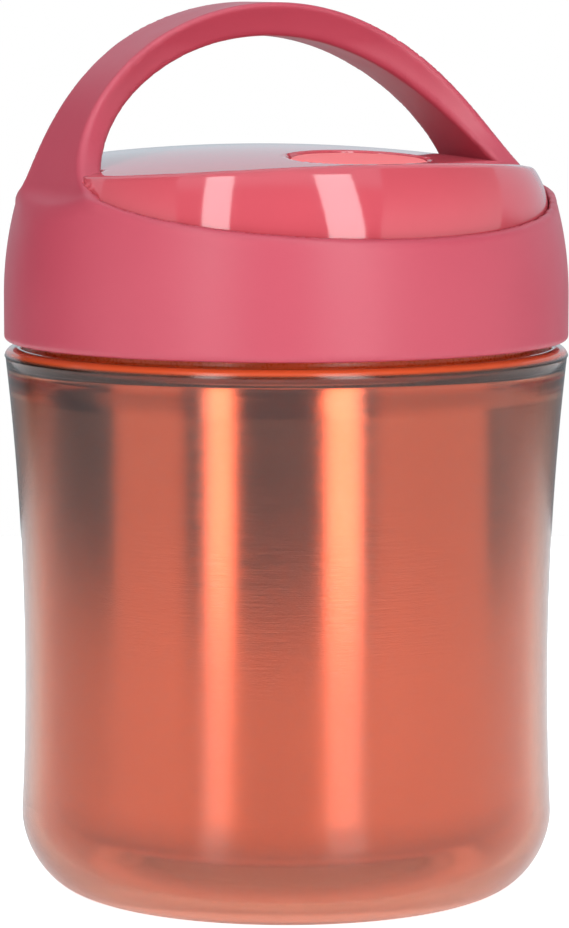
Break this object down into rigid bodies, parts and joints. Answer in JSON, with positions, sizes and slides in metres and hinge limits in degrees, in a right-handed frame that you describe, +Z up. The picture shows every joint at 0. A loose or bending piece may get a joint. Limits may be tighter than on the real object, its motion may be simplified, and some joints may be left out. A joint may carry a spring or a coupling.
{
  "type": "insulated food jar",
  "caption": "Wide-mouth insulated food jar with a steel vacuum vessel in a tinted shell, a screw lid with a fixed carrying handle and a sprung vent button.",
  "frame": {"origin": "centre of the base, on the face that the jar stands on", "axes": "+Z up along the jar's axis, -Y towards the front with the vent button, X along the handle's span"},
  "size_m": [0.104, 0.104, 0.1635],
  "materials": {
    "shell_tint": "tinted translucent plastic, satin, with a glossy rim",
    "pad_rubber": "soft matte",
    "steel": "drawn and brushed",
    "steel_polished": "electropolished",
    "getter_metal": "sintered",
    "seal_glass": "fused",
    "ring_plastic": "tinted plastic",
    "silicone": "translucent silicone",
    "collar_matte": "fine matte moulding",
    "cover_gloss": "polished moulding",
    "cup_plastic": "smooth moulding",
    "foam": "rigid foam",
    "button_coral": "soft gloss moulding",
    "spring_steel": "drawn wire and pressed strip"
  },
  "bodies": {
    "jar": {"outer_shell": "shell_tint", "base_pad": "pad_rubber", "vessel_outer": "steel", "vessel_inner": "steel_polished", "closing_disc": "steel", "getter": "getter_metal", "vacuum_plug": "seal_glass", "neck_ring": "ring_plastic", "neck_gasket": "silicone"},
    "lid_lifter": {"plug_wiper": "silicone"},
    "lid_riser": {"lid_gasket": "silicone"},
    "lid": {"handle_collar": "collar_matte", "lid_cover": "cover_gloss", "lid_cup": "cup_plastic", "lid_insulation": "foam", "plug_plate": "cup_plastic", "vent_guide": "cup_plastic", "vent_spring": "spring_steel"},
    "vent": {"vent_button": "button_coral", "vent_stem": "cup_plastic", "vent_valve": "silicone", "stem_clip": "spring_steel"}
  },
  "joints": [
    {"name": "lid_lift_off", "type": "slide", "parent": "jar", "child": "lid_lifter", "axis": [0, 0, 1], "range_m": [0, 0.075]},
    {"name": "lid_rise", "type": "slide", "parent": "lid_lifter", "child": "lid_riser", "axis": [0, 0, 1], "range_m": [0, 0.006]},
    {"name": "lid_turn", "type": "hinge", "parent": "lid_riser", "child": "lid", "pos_m": [0, 0, 0.11], "axis": [0, 0, 1], "range_deg": [0, 240]},
    {"name": "vent_press", "type": "slide", "parent": "lid", "child": "vent", "axis": [0, 0, -1], "range_m": [0, 0.0022], "stiffness_N_per_m": 900, "springref_m": -0.003, "deforming": ["vent_spring"]}
  ],
  "couplings": [
    {"joint": "lid_rise", "follows": "lid_turn", "m_per_rad": 0.0014324}
  ]
}
